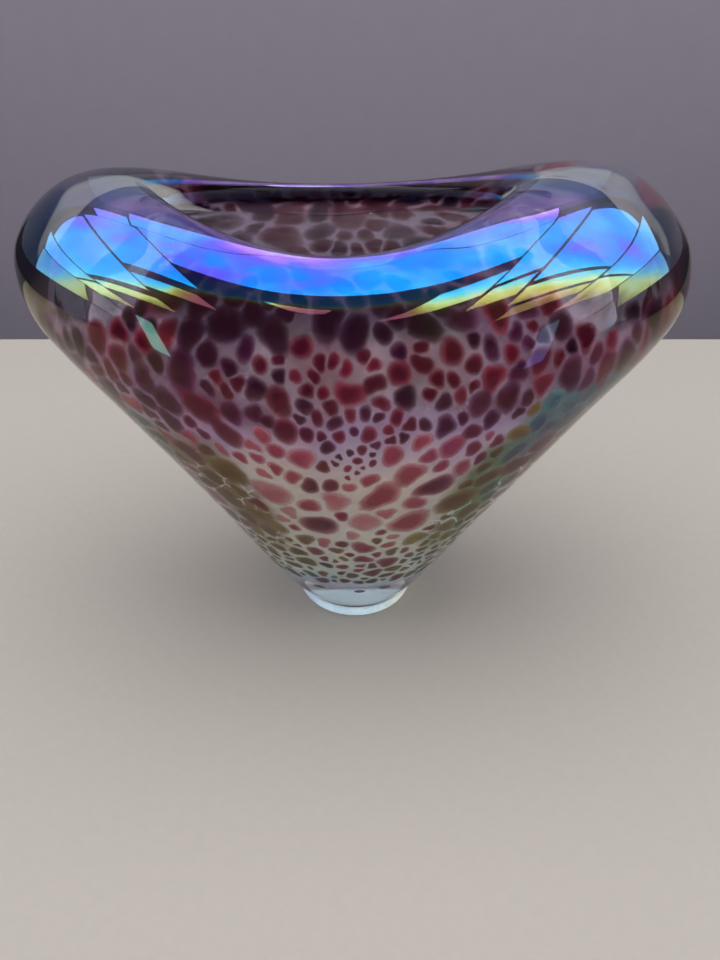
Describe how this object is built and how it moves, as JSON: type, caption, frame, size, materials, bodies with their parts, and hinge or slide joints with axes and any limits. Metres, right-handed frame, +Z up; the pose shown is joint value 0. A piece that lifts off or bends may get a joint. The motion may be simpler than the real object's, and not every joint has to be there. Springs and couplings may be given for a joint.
{
  "type": "vase",
  "caption": "Hand-blown glass vase: flattened heart-shaped body with raised lobes, sagging pointed mouth and small ground foot, for flowers or display.",
  "frame": {"origin": "centre of the resting face of the foot, on the surface the vase stands on", "axes": "+X through the two lobes, towards the slightly higher one; +Y from the front face to the back face; +Z up"},
  "size_m": [0.1596, 0.084, 0.126],
  "materials": {
    "clear_glass": "clear iridised glass: fire-polished, with a thin metallic-oxide film that reflects blue, violet and yellow-green",
    "lining_glass": "clear fire-polished glass",
    "opal_glass": "milky cream opal glass, softly translucent",
    "foot_glass": "clear glass, ground flat and polished",
    "frit_cranberry_glass": "transparent cranberry-red glass chip, cased",
    "frit_plum_glass": "transparent dark plum glass chip, cased",
    "frit_rose_glass": "transparent rose-pink glass chip, cased",
    "frit_amber_glass": "transparent olive-amber glass chip, cased",
    "frit_teal_glass": "transparent teal glass chip, cased",
    "base_chip_glass": "dark teal glass chip, cased in the clear base"
  },
  "bodies": {
    "root": {"base_chip_teal_1": "base_chip_glass", "base_chip_teal_2": "base_chip_glass", "base_chip_teal_3": "base_chip_glass", "base_chip_teal_4": "base_chip_glass", "base_chip_teal_5": "base_chip_glass", "clear_casing": "clear_glass", "frit_amber_01": "frit_amber_glass", "frit_amber_02": "frit_amber_glass", "frit_amber_03": "frit_amber_glass", "frit_amber_04": "frit_amber_glass", "frit_amber_05": "frit_amber_glass", "frit_amber_06": "frit_amber_glass", "frit_cranberry_01": "frit_cranberry_glass", "frit_cranberry_02": "frit_cranberry_glass", "frit_cranberry_03": "frit_cranberry_glass", "frit_cranberry_04": "frit_cranberry_glass", "frit_cranberry_05": "frit_cranberry_glass", "frit_cranberry_06": "frit_cranberry_glass", "frit_cranberry_07": "frit_cranberry_glass", "frit_cranberry_08": "frit_cranberry_glass", "frit_cranberry_09": "frit_cranberry_glass", "frit_cranberry_10": "frit_cranberry_glass", "frit_cranberry_11": "frit_cranberry_glass", "frit_cranberry_12": "frit_cranberry_glass", "frit_cranberry_13": "frit_cranberry_glass", "frit_cranberry_14": "frit_cranberry_glass", "frit_cranberry_15": "frit_cranberry_glass", "frit_plum_01": "frit_plum_glass", "frit_plum_02": "frit_plum_glass", "frit_plum_03": "frit_plum_glass", "frit_plum_04": "frit_plum_glass", "frit_plum_05": "frit_plum_glass", "frit_plum_06": "frit_plum_glass", "frit_plum_07": "frit_plum_glass", "frit_plum_08": "frit_plum_glass", "frit_plum_09": "frit_plum_glass", "frit_plum_10": "frit_plum_glass", "frit_plum_11": "frit_plum_glass", "frit_plum_12": "frit_plum_glass", "frit_plum_13": "frit_plum_glass", "frit_plum_14": "frit_plum_glass", "frit_plum_15": "frit_plum_glass", "frit_rose_01": "frit_rose_glass", "frit_rose_02": "frit_rose_glass", "frit_rose_03": "frit_rose_glass", "frit_rose_04": "frit_rose_glass", "frit_rose_05": "frit_rose_glass", "frit_rose_06": "frit_rose_glass", "frit_rose_07": "frit_rose_glass", "frit_rose_08": "frit_rose_glass", "frit_teal_01": "frit_teal_glass", "frit_teal_02": "frit_teal_glass", "frit_teal_03": "frit_teal_glass", "inner_lining": "lining_glass", "opal_veil": "opal_glass", "polished_foot": "foot_glass"}
  },
  "joints": []
}
